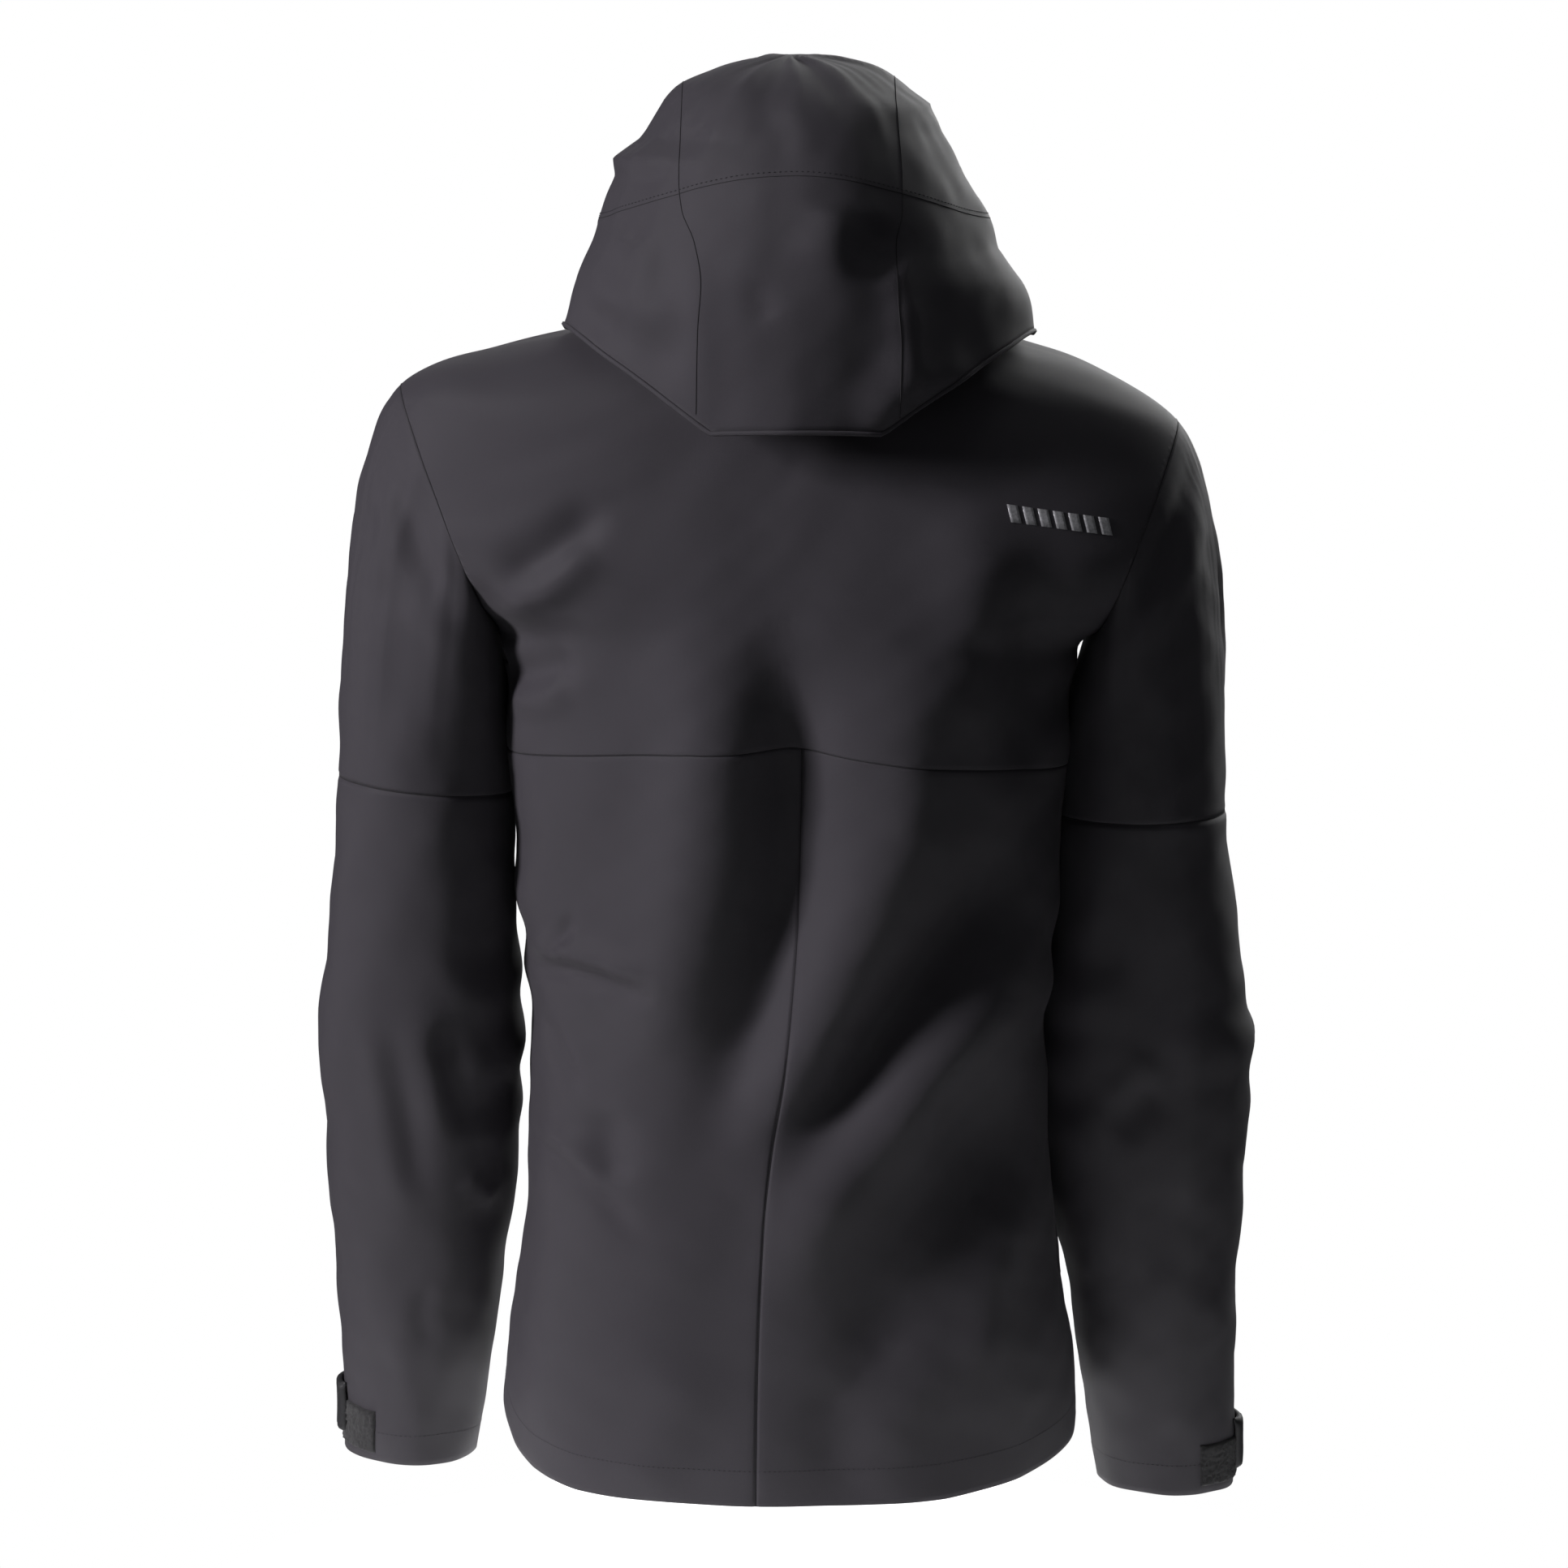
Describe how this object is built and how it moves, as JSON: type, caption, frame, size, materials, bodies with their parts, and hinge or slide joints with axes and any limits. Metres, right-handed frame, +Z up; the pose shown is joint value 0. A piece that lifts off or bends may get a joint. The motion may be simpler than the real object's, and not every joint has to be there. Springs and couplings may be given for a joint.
{
  "type": "hardshell jacket",
  "caption": "Hooded waterproof hardshell jacket, filled out as if worn: zipped front, hung sleeves, strap cuffs, raised hood.",
  "frame": {"origin": "hang loop's seat at the centre back of the neck seam", "axes": "+Z up, -Y out of the front, +X towards the wearer's left"},
  "size_m": [0.6028, 0.2921, 0.926],
  "materials": {
    "shell": "woven nylon face with a low soft sheen",
    "lining": "smooth light inner cloth",
    "tape": "matt laminated zip tape",
    "coil": "moulded coil",
    "slider": "black painted die casting",
    "pull": "soft moulded rubber",
    "strap": "moulded hook tab",
    "loop": "fuzzy loop pile",
    "fleece": "brushed chin guard",
    "loop_tape": "narrow woven tape",
    "stiffener": "bendable sheet",
    "transfer": "silver-grey reflective film",
    "hardware": "moulded plastic"
  },
  "bodies": {
    "torso": {"back_yoke": "shell", "back_panel_left": "shell", "back_panel_right": "shell", "front_panel_left": "shell", "front_panel_right": "shell", "hem_facing": "shell", "collar": "shell", "hang_loop": "loop_tape", "front_zip_tape_left": "tape", "front_zip_tape_right": "tape", "front_zip_coil_left": "coil", "front_zip_coil_right": "coil", "front_zip_retainer_box": "hardware", "storm_flap": "tape", "chin_guard": "fleece", "chest_pocket_bag": "lining", "chest_pocket_welt": "shell", "chest_pocket_zip": "coil", "hand_pocket_bag_left": "lining", "hand_pocket_bag_right": "lining", "hand_pocket_left_welt": "shell", "hand_pocket_left_zip": "coil", "hand_pocket_right_welt": "shell", "hand_pocket_right_zip": "coil", "shoulder_transfer": "transfer", "hem_cord_lock_housing_left": "hardware", "hem_cord_lock_housing_right": "hardware"},
    "hood": {"hood_centre_rear": "shell", "hood_centre_front": "shell", "hood_side_rear_left": "shell", "hood_side_rear_right": "shell", "hood_side_front_left": "shell", "hood_side_front_right": "shell", "hood_underside": "shell", "hood_brim_stiffener": "stiffener"},
    "upper_arm_left": {"sleeve_upper_left": "shell", "sleeve_elbow_left": "shell"},
    "upper_arm_right": {"sleeve_upper_right": "shell", "sleeve_elbow_right": "shell"},
    "forearm_left": {"sleeve_forearm_left": "shell", "cuff_loop_patch_left": "loop"},
    "forearm_right": {"sleeve_forearm_right": "shell", "cuff_loop_patch_right": "loop"},
    "cuff_strap_left": {"cuff_tab_left": "strap"},
    "cuff_strap_right": {"cuff_tab_right": "strap"},
    "front_slider": {"front_zip_slider": "slider"},
    "front_pull": {"front_zip_pull": "pull"},
    "chest_slider": {"chest_pocket_slider": "slider"},
    "chest_pull": {"chest_pocket_pull": "pull"},
    "hand_slider_left": {"hand_pocket_left_slider": "slider"},
    "hand_pull_left": {"hand_pocket_left_pull": "pull"},
    "hand_slider_right": {"hand_pocket_right_slider": "slider"},
    "hand_pull_right": {"hand_pocket_right_pull": "pull"},
    "hem_button_left": {"hem_cord_lock_button_left": "hardware"},
    "hem_button_right": {"hem_cord_lock_button_right": "hardware"}
  },
  "joints": [
    {"name": "hood_tips_back", "type": "hinge", "parent": "torso", "child": "hood", "pos_m": [0, 0.002, -0.002], "axis": [-1, 0, 0], "range_deg": [0, 25]},
    {"name": "shoulder_left", "type": "hinge", "parent": "torso", "child": "upper_arm_left", "pos_m": [0.238, -0.062, -0.088], "axis": [0, -1, 0], "range_deg": [0, 50]},
    {"name": "elbow_left", "type": "hinge", "parent": "upper_arm_left", "child": "forearm_left", "pos_m": [0.24, -0.107, -0.455], "axis": [-1, 0, 0], "range_deg": [0, 60]},
    {"name": "cuff_tab_left", "type": "hinge", "parent": "forearm_left", "child": "cuff_strap_left", "pos_m": [0.2595, -0.1745, -0.719], "axis": [0, 0, -1], "range_deg": [0, 90]},
    {"name": "shoulder_right", "type": "hinge", "parent": "torso", "child": "upper_arm_right", "pos_m": [-0.238, -0.062, -0.088], "axis": [0, 1, 0], "range_deg": [0, 50]},
    {"name": "elbow_right", "type": "hinge", "parent": "upper_arm_right", "child": "forearm_right", "pos_m": [-0.24, -0.107, -0.455], "axis": [-1, 0, 0], "range_deg": [0, 60]},
    {"name": "cuff_tab_right", "type": "hinge", "parent": "forearm_right", "child": "cuff_strap_right", "pos_m": [-0.2595, -0.1745, -0.719], "axis": [0, 0, 1], "range_deg": [0, 90]},
    {"name": "front_zip", "type": "slide", "parent": "torso", "child": "front_slider", "axis": [0, -0.0284, -0.9996], "range_m": [0, 0.69]},
    {"name": "front_zip_pull", "type": "hinge", "parent": "front_slider", "child": "front_pull", "pos_m": [0, -0.1802, 0.02712], "axis": [-1, 0, 0], "range_deg": [0, 150]},
    {"name": "chest_pocket_zip", "type": "slide", "parent": "torso", "child": "chest_slider", "axis": [0.0767, 0.0321, -0.9965], "range_m": [0, 0.108]},
    {"name": "chest_pocket_pull", "type": "hinge", "parent": "chest_slider", "child": "chest_pull", "pos_m": [0.08805, -0.17637, -0.19098], "axis": [-0.9221, -0.378, -0.0831], "range_deg": [0, 150]},
    {"name": "hand_pocket_left_zip", "type": "slide", "parent": "torso", "child": "hand_slider_left", "axis": [0.1447, 0.0737, -0.9867], "range_m": [0, 0.13]},
    {"name": "hand_pocket_left_pull", "type": "hinge", "parent": "hand_slider_left", "child": "hand_pull_left", "pos_m": [0.11551, -0.16262, -0.44578], "axis": [-0.7642, -0.6251, -0.1588], "range_deg": [0, 150]},
    {"name": "hand_pocket_right_zip", "type": "slide", "parent": "torso", "child": "hand_slider_right", "axis": [-0.1447, 0.0737, -0.9867], "range_m": [0, 0.13]},
    {"name": "hand_pocket_right_pull", "type": "hinge", "parent": "hand_slider_right", "child": "hand_pull_right", "pos_m": [-0.11551, -0.16262, -0.44578], "axis": [-0.7642, 0.6251, 0.1588], "range_deg": [0, 150]},
    {"name": "hem_cord_lock_left", "type": "slide", "parent": "torso", "child": "hem_button_left", "axis": [-0.556, 0.8312, 0], "range_m": [0, 0.0014], "stiffness_N_per_m": 400},
    {"name": "hem_cord_lock_right", "type": "slide", "parent": "torso", "child": "hem_button_right", "axis": [0.556, 0.8312, 0], "range_m": [0, 0.0014], "stiffness_N_per_m": 400}
  ]
}
